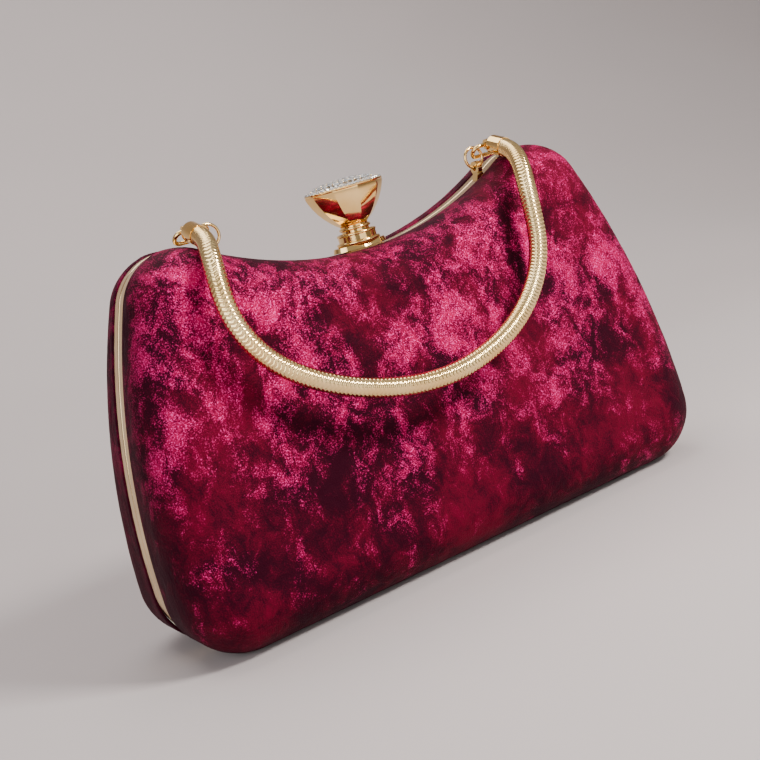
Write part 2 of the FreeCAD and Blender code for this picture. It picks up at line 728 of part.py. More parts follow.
def tube_path(points):
    """Straight runs joined by tangent arcs, each taking 0.45 of the shorter run beside its corner."""
    edges, radii = [], []
    here = points[0]
    for before, corner, after in zip(points, points[1:], points[2:]):
        arriving, leaving = (corner - before), (after - corner)
        turn = arriving.getAngle(leaving)
        reach = 0.45 * min(arriving.Length, leaving.Length)
        radii.append(reach / math.tan(turn / 2))
        arriving.normalize()
        leaving.normalize()
        start, end = corner - arriving * reach, corner + leaving * reach
        inward = leaving - arriving
        inward.normalize()
        middle = corner + inward * (radii[-1] / math.cos(turn / 2) - radii[-1])
        edges.append(Part.LineSegment(here, start).toShape())
        edges.append(Part.Arc(start, middle, end).toShape())
        here = end
    edges.append(Part.LineSegment(here, points[-1]).toShape())
    return Part.Wire(edges), radii


right_start = Vector(dim("barrel_place"), swing_y, swing_z) + cap_dir * value_of("dims.cap_start + dims.cap_length")
left_start = Vector(-right_start.x, right_start.y, right_start.z)
stops = [Vector(*(dim(f"route_{n}_{axis}") for axis in "xyz")) for n in range(1, len(ROUTE) + 1)]
chain_path, bends = tube_path([left_start] + stops + [right_start])
node(sweep("handle_chain", chain_path, "dims.chain_radius"), "handle_chain")

# ---------------------------------------------------------------- write the sub-parts

doc.recompute()
for thing in doc.Objects:
    if any(word in ("Invalid", "Error") for word in thing.State):
        raise RuntimeError(f"{thing.Name} failed: {thing.State}")
os.makedirs("parts", exist_ok=True)
for name, thing in nodes.items():
    if thing.Shape.isNull() or not thing.Shape.isValid():
        raise RuntimeError(f"{name} has no valid shape")
    thing.Shape.exportStep(f"parts/{name}.step")

section = math.pi * dim("chain_radius") ** 2
print("chain length", round(chain_path.Length, 2), "bend radii", [round(r, 1) for r in bends])
print("chain volume over section x length", round(nodes["handle_chain"].Shape.Volume / section / chain_path.Length, 4))
print(len(nodes), "sub-parts written")
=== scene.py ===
import math

import bmesh
import bpy
import numpy as np
from mathutils import Matrix, Vector, noise


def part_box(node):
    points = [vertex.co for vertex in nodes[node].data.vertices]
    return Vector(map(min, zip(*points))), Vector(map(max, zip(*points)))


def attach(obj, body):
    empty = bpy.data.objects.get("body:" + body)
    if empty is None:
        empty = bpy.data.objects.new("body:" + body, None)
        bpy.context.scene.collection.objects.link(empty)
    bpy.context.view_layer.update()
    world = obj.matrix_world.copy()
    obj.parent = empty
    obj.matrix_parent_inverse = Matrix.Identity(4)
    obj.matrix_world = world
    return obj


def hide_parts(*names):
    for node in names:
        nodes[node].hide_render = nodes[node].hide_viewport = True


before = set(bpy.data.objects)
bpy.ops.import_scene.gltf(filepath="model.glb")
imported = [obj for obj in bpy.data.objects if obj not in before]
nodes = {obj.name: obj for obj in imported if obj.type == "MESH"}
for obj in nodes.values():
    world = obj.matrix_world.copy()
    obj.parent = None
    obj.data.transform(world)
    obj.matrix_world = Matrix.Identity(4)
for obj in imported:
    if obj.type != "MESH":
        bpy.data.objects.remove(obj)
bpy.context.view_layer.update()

MM = 0.001

# ---------------------------------------------------------------- the purse's driving sizes, in millimetres

SIDE_RADIUS = 233.0
WIDEST_LEVEL = 24.0
CORNER_RADIUS = 20.0
HUMP_RADIUS = 18.5
HUMP_TOP = 120.5
SADDLE_RADIUS = 115.7
EDGE_RADIUS = 16.0
MID_DEPTH = 27.0
MID_LEVEL = 60.0
LEAN = math.radians(6.5)
RIM_WIDTH = 4.3
half_width = 100.0

# ---------------------------------------------------------------- shader nodes


class Value:
    """A socket's value, with arithmetic that adds the matching Math nodes."""

    def __init__(self, shader, socket):
        self.shader, self.socket = shader, socket

    def math(self, operation, *others):
        """One Math node over this value and others."""
        inputs = {f"in{number}": value for number, value in enumerate((self, *others))}
        made = self.shader.add("Math", {"operation": operation}, **inputs)
        return Value(self.shader, made.outputs[0])

    def __add__(self, other):
        return self.math("ADD", other)

    def __rsub__(self, other):
        return self * -1 + other

    def __mul__(self, other):
        return self.math("MULTIPLY", other)

    def __pow__(self, other):
        return self.math("POWER", other)

    def clamped(self, low, high):
        """This value spread so that low gives 0 and high gives 1, and no further."""
        made = self.shader.add(
            "MapRange", {"interpolation_type": "SMOOTHSTEP"}, Value=self, in1=low, in2=high
        )
        return Value(self.shader, made.outputs["Result"])


class Shader:
    """A material made from nodes, with one Principled shader at its end."""

    def __init__(self, name, **fixed):
        self.material = bpy.data.materials.new(name)
        self.material.use_nodes = True
        self.tree = self.material.node_tree
        self.surface = self.tree.nodes["Principled BSDF"]
        for socket, value in fixed.items():
            self.surface.inputs[socket.replace("_", " ")].default_value = value
        self.place = Value(self, self.add("TexCoord").outputs["Object"])

    def add(self, kind, settings=None, **inputs):
        """A node of a kind. Inputs go by socket name, or in0, in1 and so on by position."""
        made = self.tree.nodes.new("ShaderNode" + kind)
        for key, value in (settings or {}).items():
            setattr(made, key, value)
        for key, value in inputs.items():
            by_place = key.startswith("in") and key[2:].isdigit()
            socket = made.inputs[int(key[2:]) if by_place else key.replace("_", " ")]
            if isinstance(value, Value):
                self.tree.links.new(value.socket, socket)
            else:
                socket.default_value = value
        return made

    def axes(self):
        """The place's three coordinates, in metres."""
        made = self.add("SeparateXYZ", None, Vector=self.place)
        return [Value(self, output) for output in made.outputs]

    def noise(self, scale, detail=3.0, roughness=0.55, stretch=(1, 1, 1), distortion=0.0, seed=0.0):
        """Noise with features about 1 / scale metres across, drawn out along the axes by stretch."""
        squeeze = tuple(1 / length for length in stretch)
        spread = self.add("Mapping", None, Vector=self.place, Scale=squeeze, Location=(seed, seed, seed))
        made = self.add(
            "TexNoise", None, Vector=Value(self, spread.outputs[0]), Scale=scale, Detail=detail,
            Roughness=roughness, Distortion=distortion,
        )
        return Value(self, made.outputs["Fac"])

    def cells(self, scale, feature="F1", output="Distance"):
        """A Voronoi pattern's distance or colour."""
        made = self.add("TexVoronoi", {"feature": feature}, Vector=self.place, Scale=scale)
        return Value(self, made.outputs[output])

    def blend(self, factor, low, high):
        """A colour between two others."""
        made = self.add("Mix", {"data_type": "RGBA"}, in0=factor, in6=low, in7=high)
        return Value(self, made.outputs[2])

    def bump(self, height, distance, strength=1.0, before=None):
        """The normal after raising the surface by height times distance, in metres."""
        more = {} if before is None else {"Normal": before}
        made = self.add("Bump", None, Height=height, Distance=distance, Strength=strength, **more)
        return Value(self, made.outputs[0])

    def set(self, **varying):
        """Join values that vary over the surface to the shader's sockets."""
        for socket, value in varying.items():
            self.tree.links.new(value.socket, self.surface.inputs[socket.replace("_", " ")])
        return self.material


def velvet_material():
    """Crushed velvet: deep upright pile with flattened patches whose pink shine is painted sheen, grainy at
    their edges; painted glints, painted shade on the rounded edge and more painted sheen towards the top.
    """
    shader = Shader("velvet", Specular_IOR_Level=0.16, Specular_Tint=(1.0, 0.25, 0.45, 1))
    _, depth, level = shader.axes()
    # Painted shade: the rounded edge by the rim is darkened and loses its pink patches; this share is 0 there
    # and 1 on the face.
    lit_away_from_edge = (depth.math("ABSOLUTE") + level * math.tan(LEAN)).clamped(0.017, 0.0325)
    # Painted light: the pink patches grow more common higher up, giving a painted lighter top.
    height = level.clamped(0.008, 0.075)
    drift = shader.noise(26, 3.0, 0.55, seed=3.1)
    patches = shader.noise(60, 4.0, 0.62, stretch=(1, 1, 1.5), distortion=0.9, seed=1.7)
    marks = shader.noise(165, 4.0, 0.66, stretch=(1, 1, 1.3), distortion=0.7, seed=5.3)
    grain = shader.noise(2300, 2.0, 0.6)
    tufts = shader.cells(1500, output="Color")
    crush = patches * 0.52 + marks * 0.48 + height * 0.105
    # Painted sheen mask: the flattened patches, grainy at their edges, fewer towards the rounded edge.
    flat = (crush + grain * 0.34).clamped(0.725, 0.925) * (lit_away_from_edge * 0.8 + 0.2)
    lively = (drift * 0.45 + marks * 0.35 + grain * 0.2).clamped(0.42, 0.60)
    # Random tone from dark to crimson, darkened towards the rounded edge as painted shade.
    deep = shader.blend(lively * (lit_away_from_edge * 0.75 + 0.25), (0.016, 0.0002, 0.004, 1), (0.105, 0.0007, 0.012, 1))
    # Painted sheen: the flattened patches are coloured pink in place of their shine.
    pile = shader.blend(flat, deep, (0.46, 0.0008, 0.082, 1))
    # Painted glints: sparse grain points in the patches coloured bright pink as highlights.
    painted_glint = grain.clamped(0.53, 0.64) * flat ** 1.5
    colour = shader.blend(painted_glint * 0.75, pile, (1.0, 0.07, 0.40, 1))
    ribs = shader.add(
        "TexWave", {"bands_direction": "X"}, Vector=shader.place, Scale=420.0, Distortion=1.2, Detail=2.0
    )
    crush_bump = shader.bump(patches * 0.6 + marks * 0.4, 0.0022, 0.5)
    rib_bump = shader.bump(Value(shader, ribs.outputs["Fac"]), 0.00006, 0.4, crush_bump)
    tuft_bump = shader.bump(grain + tufts * 0.35, 0.0003, 0.6, rib_bump)
    return shader.set(Base_Color=colour, Roughness=0.7 - flat * 0.2, Metallic=flat * 0.45, Normal=tuft_bump)


def gold_material(name, colour, shade, rough, scratch=0.5):
    """Polished plate: faint tone drift, hairline scratches and a slightly uneven polish."""
    shader = Shader(name, Metallic=1.0, Specular_Tint=(1.0, 0.97, 0.9, 1))
    drift = shader.noise(90, 3.0, 0.5)
    hairs = shader.noise(900, 4.0, 0.7, stretch=(1, 1, 14), seed=2.0)
    hairs_across = shader.noise(800, 4.0, 0.7, stretch=(12, 1, 1), seed=4.0)
    wear = shader.noise(260, 5.0, 0.65, seed=7.0)
    tone = shader.blend(drift.clamped(0.3, 0.7), colour, shade)
    rough_now = wear.clamped(0.45, 0.8) * 0.10 + (hairs * 0.04 + rough)
    normal = shader.bump(hairs + hairs_across, 0.00002, 0.10 * scratch, shader.bump(wear, 0.0001, 0.04))
    return shader.set(Base_Color=tone, Roughness=rough_now, Normal=normal)


def satin_material(name, colour, shade):
    """Lining satin: fine cross weave, soft creases with painted shade in their troughs, and a broad shine."""
    shader = Shader(name, Sheen_Weight=0.25, Sheen_Roughness=0.4, Sheen_Tint=(1.0, 0.6, 0.7, 1), IOR=1.45)
    folds = shader.noise(60, 3.0, 0.5, stretch=(1, 1, 2.5))
    warp = shader.add("TexWave", {"bands_direction": "X"}, Vector=shader.place, Scale=900.0, Distortion=0.3)
    weft = shader.add("TexWave", {"bands_direction": "Z"}, Vector=shader.place, Scale=700.0, Distortion=0.3)
    weave = Value(shader, warp.outputs["Fac"]) * Value(shader, weft.outputs["Fac"])
    fine = shader.noise(700, 3.0, 0.6)
    normal = shader.bump(weave, 0.00006, 0.3, shader.bump(folds, 0.0008, 0.3))
    # Painted shade: the colour follows the crease noise, lighter on the crests and darker in the troughs,
    # mixed with fine random tone.
    return shader.set(
        Base_Color=shader.blend(folds * 0.7 + fine * 0.3, colour, shade), Roughness=fine * 0.12 + 0.36,
        Normal=normal,
    )


def foam_material():
    """Open-cell padding foam."""
    shader = Shader("foam")
    pores = shader.cells(1400)
    cloud = shader.noise(200, 3.0, 0.6)
    colour = shader.blend(cloud.clamped(0.3, 0.7), (0.74, 0.69, 0.58, 1), (0.84, 0.80, 0.70, 1))
    return shader.set(Base_Color=colour, Roughness=pores * 0.2 + 0.8, Normal=shader.bump(pores, 0.0002, 0.6))


def board_material():
    """The moulded shell: dark board with a faint mould texture."""
    shader = Shader("shell_board")
    fine = shader.noise(900, 4.0, 0.6)
    cloud = shader.noise(60, 3.0, 0.5)
    colour = shader.blend(cloud, (0.045, 0.04, 0.04, 1), (0.075, 0.07, 0.068, 1))
    return shader.set(Base_Color=colour, Roughness=fine * 0.25 + 0.5, Normal=shader.bump(fine, 0.0001, 0.35))


def steel_material():
    """Plated steel of the hinges and catch, brushed along the purse."""
    shader = Shader("steel", Metallic=1.0)
    brush = shader.noise(1200, 4.0, 0.7, stretch=(10, 1, 1))
    wear = shader.noise(300, 4.0, 0.6, seed=3.0)
    colour = shader.blend(wear.clamped(0.4, 0.7), (0.66, 0.64, 0.60, 1), (0.52, 0.50, 0.47, 1))
    normal = shader.bump(brush, 0.00002, 0.15)
    return shader.set(Base_Color=colour, Roughness=brush * 0.18 + 0.2, Normal=normal)


def stone_material():
    """Clear cut stones with a faint tint that changes from stone to stone."""
    shader = Shader("stones", IOR=1.9, Transmission_Weight=0.82)
    tint = shader.cells(420, output="Color")
    dust = shader.noise(700, 3.0, 0.6)
    colour = shader.blend(tint, (0.99, 0.99, 1.0, 1), (0.90, 0.94, 1.0, 1))
    return shader.set(Base_Color=colour, Roughness=dust.clamped(0.55, 0.8) * 0.08)


def backdrop_material():
    """A plain warm grey sweep with a faint plaster tone."""
    shader = Shader("backdrop")
    cloud = shader.noise(2.5, 3.0, 0.5)
    colour = shader.blend(cloud.clamped(0.3, 0.7), (0.47, 0.418, 0.413, 1), (0.50, 0.444, 0.438, 1))
    return shader.set(Base_Color=colour, Roughness=cloud * 0.1 + 0.85)


velvet = velvet_material()
rim_gold = gold_material("rim_gold", (0.68, 0.49, 0.26, 1), (0.76, 0.58, 0.35, 1), 0.14)
clasp_gold = gold_material("clasp_gold", (0.84, 0.54, 0.19, 1), (0.92, 0.64, 0.28, 1), 0.05, 0.3)
chain_gold = gold_material("chain_gold", (0.90, 0.61, 0.25, 1), (0.95, 0.70, 0.34, 1), 0.14, 0.3)
satin = satin_material("satin", (0.10, 0.006, 0.022, 1), (0.20, 0.012, 0.045, 1))
foam = foam_material()
board = board_material()
steel = steel_material()
stone = stone_material()
backdrop = backdrop_material()

# ---------------------------------------------------------------- making pieces


def piece(name, points, faces, material, body, smooth=True, sharp=None):
    """A mesh piece, in millimetres, that rides on a body."""
    mesh = bpy.data.meshes.new(name)
    mesh.from_pydata([tuple(float(c) * MM for c in p) for p in points], [], faces)
    mesh.validate()
    mesh.materials.append(material)
    mesh.polygons.foreach_set("use_smooth", [smooth] * len(mesh.polygons))
    if sharp:
        mesh.set_sharp_from_angle(angle=math.radians(sharp))
    made = bpy.data.objects.new(name, mesh)
    bpy.context.scene.collection.objects.link(made)
    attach(made, body)
    return made


def band_faces(rows, count, closed_rows=False):
    """Quads between rows of points that each close on themselves."""
    faces = []
    for row in range(rows if closed_rows else rows - 1):
        here, there = row * count, (row + 1) % rows * count
        for column in range(count):
            beside = (column + 1) % count
            faces.append((here + column, here + beside, there + beside, there + column))
    return faces


def faced_out(piece_made):
    """Turn a closed mesh's faces outwards."""
    mesh = piece_made.data
    whole = bmesh.new()
    whole.from_mesh(mesh)
    bmesh.ops.recalc_face_normals(whole, faces=whole.faces)
    whole.to_mesh(mesh)
    whole.free()
    return piece_made


# ---------------------------------------------------------------- the two padded halves


def outline(count):
    """Points and outward normals round the outline, as (x, z), evenly spaced from the bottom's middle."""
    side = Vector((half_width - SIDE_RADIUS, WIDEST_LEVEL))
    corner_z = CORNER_RADIUS
    corner_x = side.x + math.sqrt((SIDE_RADIUS - CORNER_RADIUS) ** 2 - (corner_z - side.y) ** 2)
    hump_z = HUMP_TOP - HUMP_RADIUS
    hump_x = side.x + math.sqrt((SIDE_RADIUS - HUMP_RADIUS) ** 2 - (hump_z - side.y) ** 2)
    dip_z = hump_z + math.sqrt((SADDLE_RADIUS + HUMP_RADIUS) ** 2 - hump_x**2)
    low = math.atan2(corner_z - side.y, corner_x - side.x)
    high = math.atan2(hump_z - side.y, hump_x - side.x)
    top = math.atan2(dip_z - hump_z, -hump_x)
    arcs = [
        ((corner_x, corner_z), CORNER_RADIUS, -math.pi / 2, low),
        (tuple(side), SIDE_RADIUS, low, high),
        ((hump_x, hump_z), HUMP_RADIUS, high, top),
        ((0.0, dip_z), -SADDLE_RADIUS, top - math.pi, -math.pi / 2),
    ]
    lengths = [corner_x] + [abs(r * (b - a)) for _, r, a, b in arcs]
    total = sum(lengths)
    half = []
    for step in range(count // 2 + 1):
        along = total * step / (count // 2)
        if along <= lengths[0]:
            half.append((along, 0.0, 0.0, -1.0))
            continue
        along -= lengths[0]
        for ((cx, cz), radius, start, end), length in zip(arcs, lengths[1:]):
            if along <= length + 1e-6:
                break
            along -= length
        angle = start + (end - start) * min(along / length, 1.0)
        out = 1.0 if radius > 0 else -1.0
        reach = abs(radius)
        half.append((cx + reach * math.cos(angle), cz + reach * math.sin(angle), out * math.cos(angle),
                     out * math.sin(angle)))
    right = np.array(half)
    left = right[-2:0:-1] * np.array([-1, 1, -1, 1])
    ring = np.vstack([right, left])
    return ring[:, :2], ring[:, 2:]


ROUND = 420
rim_points, rim_normals = outline(ROUND)
face_normal = np.array([0.0, -math.cos(LEAN), math.sin(LEAN)])
middle_of_face = np.array([0.0, -MID_DEPTH, MID_LEVEL])


def wall_row(inset, y):
    """The outline at a distance inside the velvet surface, at a depth y that may vary along it."""
    flat = rim_points - inset * rim_normals
    return np.column_stack([flat[:, 0], np.broadcast_to(y, ROUND), flat[:, 1]])


def edge_centres():
    """The line that the rounded front edge is rolled around."""
    flat = rim_points - EDGE_RADIUS * rim_normals
    depth = MID_DEPTH + (MID_LEVEL - flat[:, 1]) * math.tan(LEAN) - EDGE_RADIUS / math.cos(LEAN)
    return np.column_stack([flat[:, 0], -depth, flat[:, 1]])


centres = edge_centres()
wall_normals = np.column_stack([rim_normals[:, 0], np.zeros(ROUND), rim_normals[:, 1]])


def edge_row(inset, share):
    """A row on the rounded front edge, from the wall (0) to the face (1)."""
    turn = np.arccos(np.clip(wall_normals @ face_normal, -1, 1))[:, None]
    mix = (np.sin((1 - share) * turn) * wall_normals + np.sin(share * turn) * face_normal) / np.sin(turn)
    return centres + (EDGE_RADIUS - inset) * mix


def face_row(inset, share, crown):
    """A row on the front face, from its edge (1) to its middle (0), raised by a soft crown."""
    edge = edge_row(inset, 1.0)
    middle = middle_of_face - inset * face_normal
    return middle + share * (edge - middle) + crown * (1 - share**2) ** 2 * face_normal


def half_surface(inset, crown, lip):
    """Rows over one half's surface, from its back edge (each lip row is inset and y) to the face's middle."""
    rows = [wall_row(inset + extra, y) for extra, y in lip]
    start = lip[-1][1]
    for share in np.linspace(0, 1, 9)[1:-1]:
        rows.append(wall_row(inset, start + share * (centres[:, 1] - start)))
    rows += [edge_row(inset, share) for share in np.linspace(0, 1, 15)]
    rows += [face_row(inset, share, crown) for share in np.linspace(1, 0.03, 30)[1:]]
    return rows


def ripple_rows(points, first, last, height):
    """Push rows of points in and out by a soft noise that fades in from the first row."""
    flat_from = first + 7
    for row in range(first, last):
        strength = height * min(1.0, (row - first) / 5)
        for column in range(ROUND):
            at = row * ROUND + column
            place = Vector(points[at])
            high = noise.noise(place * 0.11) + 0.5 * noise.noise(place * 0.27)
            reach = wall_normals[column] if row < flat_from else face_normal
            points[at] += strength * high * reach


def half_shell(name, outer, inner, crowns, lip, material, body, ripple=0.0):
    """A closed sheet over one half, between two insets. Its front version is mirrored for the back body."""
    outside = half_surface(outer, crowns[0], lip)
    inside = half_surface(inner, crowns[1], [(0.0, lip[-1][1])])
    rows = outside + inside[::-1]
    points = np.vstack(rows)
    if ripple:
        ripple_rows(points, len(lip), len(outside), ripple)
    points[:, 2] = np.maximum(points[:, 2], 0.0)
    middle_row = len(outside) - 1
    outer_ring = [middle_row * ROUND + column for column in range(ROUND)]
    inner_ring = [at + ROUND for at in outer_ring]
    faces = [face for face in band_faces(len(rows), ROUND) if face[0] // ROUND != middle_row]
    hub_out, hub_in = len(points), len(points) + 1
    points = np.vstack([points, points[outer_ring].mean(axis=0), points[inner_ring].mean(axis=0)])
    last = (len(rows) - 1) * ROUND
    for column in range(ROUND):
        beside = (column + 1) % ROUND
        faces.append((outer_ring[column], outer_ring[beside], hub_out))
        faces.append((inner_ring[column], hub_in, inner_ring[beside]))
        faces.append((last + column, last + beside, beside, column))
    if body == "back_half":
        points = points * np.array([1, -1, 1])
    return faced_out(piece(name, points, faces, material, body))


CROWN = 1.5
COVER_RIPPLE = 0.22
cover_turn_in = [(0.9, 0.04), (0.5, 0.06), (0.2, 0.2), (0.05, 0.5), (0.0, 0.9)]
cover_lip = [(inset, -RIM_WIDTH - behind) for inset, behind in cover_turn_in]
plain_lip = [(0.0, -RIM_WIDTH - 0.15), (0.0, -RIM_WIDTH - 0.6)]


def padded_half(side):
    """One half's foam, its velvet stretched over that, and its satin inside the shell."""
    body = f"{side}_half"
    pad = half_shell(f"{side}_pad", 1.0, 2.6, (CROWN, 0.0), plain_lip, foam, body)
    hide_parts(f"{side}_padding")
    cover = half_shell(f"{side}_velvet", 0.0, 0.9, (CROWN, CROWN), cover_lip, velvet, body,
                       COVER_RIPPLE)
    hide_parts(f"{side}_cover")
    inner = half_shell(f"{side}_satin", 4.2, 4.65, (0.0, 0.0), plain_lip, satin, body)
    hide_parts(f"{side}_lining")


for side in ("front", "back"):
    padded_half(side)


def slip_pocket():
    """The cloth pocket against the back half's lining, with a folded hem and a slightly slack mouth."""
    low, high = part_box("slip_pocket")
    half, bottom, top = high[0] / MM, low[2] / MM, high[2] / MM
    across, up, hem, thickness = 96, 48, 4.0, 0.35
    inset = 5.1
    outer, under = [], []
    for row in range(up + 1):
        for column in range(across + 1):
            u, v = column / across, row / up
            x, z = half * (2 * u - 1), bottom + (top - bottom) * v
            slack = 1.1 * math.sin(math.pi * u) * v**2
            crease = 0.18 * noise.noise(Vector((x, 0, z)) * 0.09) * math.sin(math.pi * u)
            folded = 0.25 if top - z < hem else 0.0
            stitch = 0.14 * (math.sin(x * 3.2) > 0.2) if abs(top - z - hem) < 0.7 else 0.0
            depth = MID_DEPTH + (MID_LEVEL - z) * math.tan(LEAN) - inset / math.cos(LEAN)
            under.append((x, depth - slack - crease, z))
            outer.append((x, depth - slack - crease - thickness - folded + stitch, z))
    width = across + 1
    count = len(outer)
    faces = []
    for row in range(up):
        for column in range(across):
            a = row * width + column
            quad = (a, a + 1, a + width + 1, a + width)
            faces.append(quad)
            faces.append(tuple(count + i for i in reversed(quad)))
    border = [c for c in range(width)] + [r * width + across for r in range(1, up + 1)]
    border += [up * width + c for c in range(across - 1, -1, -1)] + [r * width for r in range(up - 1, 0, -1)]
    for a, b in zip(border, border[1:] + border[:1]):
        faces.append((a, count + a, count + b, b))
    made = faced_out(piece("pocket_cloth", outer + under, faces, satin, "back_half"))
    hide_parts("slip_pocket")


slip_pocket()

# ---------------------------------------------------------------- the snake chain

ROUTE = [
    (-57.6, -11.99, 121.48),
    (-58.7, -18.4, 119.8),
    (-62.0, -26.3, 115.2),
    (-64.2, -31.0, 107.0),
    (-64.2, -32.2, 98.6),
    (-61.8, -33.4, 90.0),
    (-57.0, -34.5, 82.2),
    (-49.8, -36.6, 75.2),
    (-40.2, -38.7, 69.2),
    (-28.8, -40.8, 64.6),
    (-16.0, -42.3, 61.6),
    (-2.6, -42.8, 61.2),
    (10.4, -41.8, 63.4),
    (22.2, -40.2, 67.4),
    (32.4, -37.8, 73.4),
    (40.2, -35.6, 80.8),
    (44.8, -33.9, 89.0),
    (46.8, -32.4, 97.8),
    (48.2, -30.8, 106.0),
    (51.8, -26.2, 114.0),
    (56.2, -18.5, 119.6),
    (57.6, -11.99, 121.48),
]
CHAIN_RADIUS = 3.0
LINK_PITCH = 1.25


def smooth_route(points):
    """Points along the NURBS spline that has the route as its control points, in millimetres."""
    curve = bpy.data.curves.new("chain_route", "CURVE")
    curve.dimensions = "3D"
    curve.resolution_u = 24
    spline = curve.splines.new("NURBS")
    spline.points.add(len(points) - 1)
    for control, point in zip(spline.points, points):
        control.co = (*(c * MM for c in point), 1.0)
    spline.order_u = 3
    spline.use_endpoint_u = True
    holder = bpy.data.objects.new("chain_route", curve)
    line = bpy.data.meshes.new_from_object(holder)
    found = np.array([tuple(v.co) for v in line.vertices]) / MM
    bpy.data.objects.remove(holder)
    bpy.data.curves.remove(curve)
    bpy.data.meshes.remove(line)
    return found


def even_steps(line, step):
    """Points a step apart along a line, with the distance to each."""
    gaps = np.linalg.norm(np.diff(line, axis=0), axis=1)
    reach = np.concatenate([[0], np.cumsum(gaps)])
    count = int(reach[-1] / step)
    where = np.linspace(0, reach[-1], count + 1)
    return np.column_stack([np.interp(where, reach, line[:, k]) for k in range(3)]), where


def snake_chain():
    """The chain: wavy stamped plates packed along a tube, seen as zigzag ribs."""
    line = smooth_route(ROUTE)
    steps, reach = even_steps(line, 0.22)
    around, waves = 56, 7
    tangents = np.gradient(steps, axis=0)
    tangents /= np.linalg.norm(tangents, axis=1)[:, None]
    side = np.cross(tangents[0], (0, 0, 1.0))
    points = []
    for place, along, tangent in zip(steps, reach, tangents):
        side = side - tangent * (side @ tangent)
        side /= np.linalg.norm(side)
        other = np.cross(tangent, side)
        for k in range(around):
            angle = 2 * math.pi * k / around
            zigzag = abs((angle * waves / math.pi) % 2 - 1) * 0.5
            phase = math.sin(math.pi * (along / LINK_PITCH + zigzag))
            radius = CHAIN_RADIUS * (0.87 + 0.13 * abs(phase) ** 0.5)
            points.append(place + radius * (math.cos(angle) * side + math.sin(angle) * other))
    faces = band_faces(len(steps), around)
    faces.append(tuple(range(around)))
    faces.append(tuple(reversed(range(len(points) - around, len(points)))))
    made = faced_out(piece("snake_chain", points, faces, chain_gold, "handle"))
    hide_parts("handle_chain")
    print("chain length in millimetres", round(reach[-1], 2))


snake_chain()

# ---------------------------------------------------------------- the clasp's jewelled top


def oval_rows(sections, around, facets=0, flatness=0.0):
    """Rows of points round upright ovals, each (half length, half width, level), with flattened facets."""
    rows = []
    for long, short, level in sections:
        for k in range(around):
            angle = 2 * math.pi * k / around
            reach = 1.0
            if facets:
                part = 2 * math.pi / facets
                local = (angle + part / 2) % part - part / 2
                reach = 1 - flatness + flatness * math.cos(part / 2) / math.cos(local)
            rows.append((long * reach * math.cos(angle), short * reach * math.sin(angle), level))
    return rows


def capped(sections, around, facets=0, flatness=0.0):
    """Points and faces of a closed upright oval solid."""
    points = oval_rows(sections, around, facets, flatness)
    faces = band_faces(len(sections), around)
    faces += [tuple(reversed(range(around))), tuple(range(len(points) - around, len(points)))]
    return points, faces


cup_low, cup_high = (corner / MM for corner in map(np.array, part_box("clasp_cup")))
stone_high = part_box("clasp_stones")[1][2] / MM
# The cup's half length and half width at shares of its height.
CUP_PROFILE = [
    (0.0, 4.6, 4.55), (0.04, 5.3, 5.0), (0.10, 6.3, 5.7), (0.20, 7.7, 6.5), (0.34, 9.4, 7.4),
    (0.50, 11.0, 8.2), (0.68, 12.4, 8.8), (0.84, 13.4, 9.15), (0.95, 13.9, 9.3), (1.0, 13.9, 9.3),
]
CUP_FACETS = 10
EDGE_STONES = 46
EDGE_OVAL = (13.15, 8.6)
DOME_OVAL = (12.4, 7.8)
STONE_PITCH = 2.12
ROW_PITCH = STONE_PITCH * 0.866


def clasp_cup():
    """A goblet with broad polished facets that flares to the oval of stones."""
    base, top = cup_low[2], cup_high[2]
    sections = [(a, b, base + share * (top - base)) for share, a, b in CUP_PROFILE]
    points, faces = capped(sections, 80, CUP_FACETS, 0.85)
    made = faced_out(piece("cup", points, faces, clasp_gold, "clasp_knob", sharp=16))
    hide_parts("clasp_cup")


def stone_bezel():
    """The bezel: a thin gold band under a row of small set stones."""
    level = cup_high[2]
    band = [
        (13.6, 9.05, level - 0.3), (14.0, 9.45, level), (14.05, 9.5, level + 0.35),
        (13.7, 9.15, level + 0.6), (12.6, 8.0, level + 0.55), (12.5, 7.9, level - 0.3),
    ]
    points = oval_rows(band, 120)
    faces = band_faces(len(band), 120, closed_rows=True)
    made = faced_out(piece("bezel_band", points, faces, clasp_gold, "clasp_knob", sharp=40))
    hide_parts("clasp_bezel")
    points, faces = [], []
    long, short = EDGE_OVAL
    angles = np.linspace(0, 2 * math.pi, 721)
    oval = np.column_stack([long * np.cos(angles), short * np.sin(angles), np.full(721, level + 0.75)])
    places, _ = even_steps(oval, np.linalg.norm(np.diff(oval, axis=0), axis=1).sum() / EDGE_STONES)
    for number, place in enumerate(places[:EDGE_STONES]):
        out = Vector((place[0] / long**2, place[1] / short**2, 0)).normalized()
        up = (Vector((0, 0, 1)) + out * 0.5).normalized()
        cut_stone(points, faces, Vector(place), up, 0.86, 0.5, number * 0.7)
    piece("edge_stones", points, faces, stone, "clasp_knob", smooth=False)


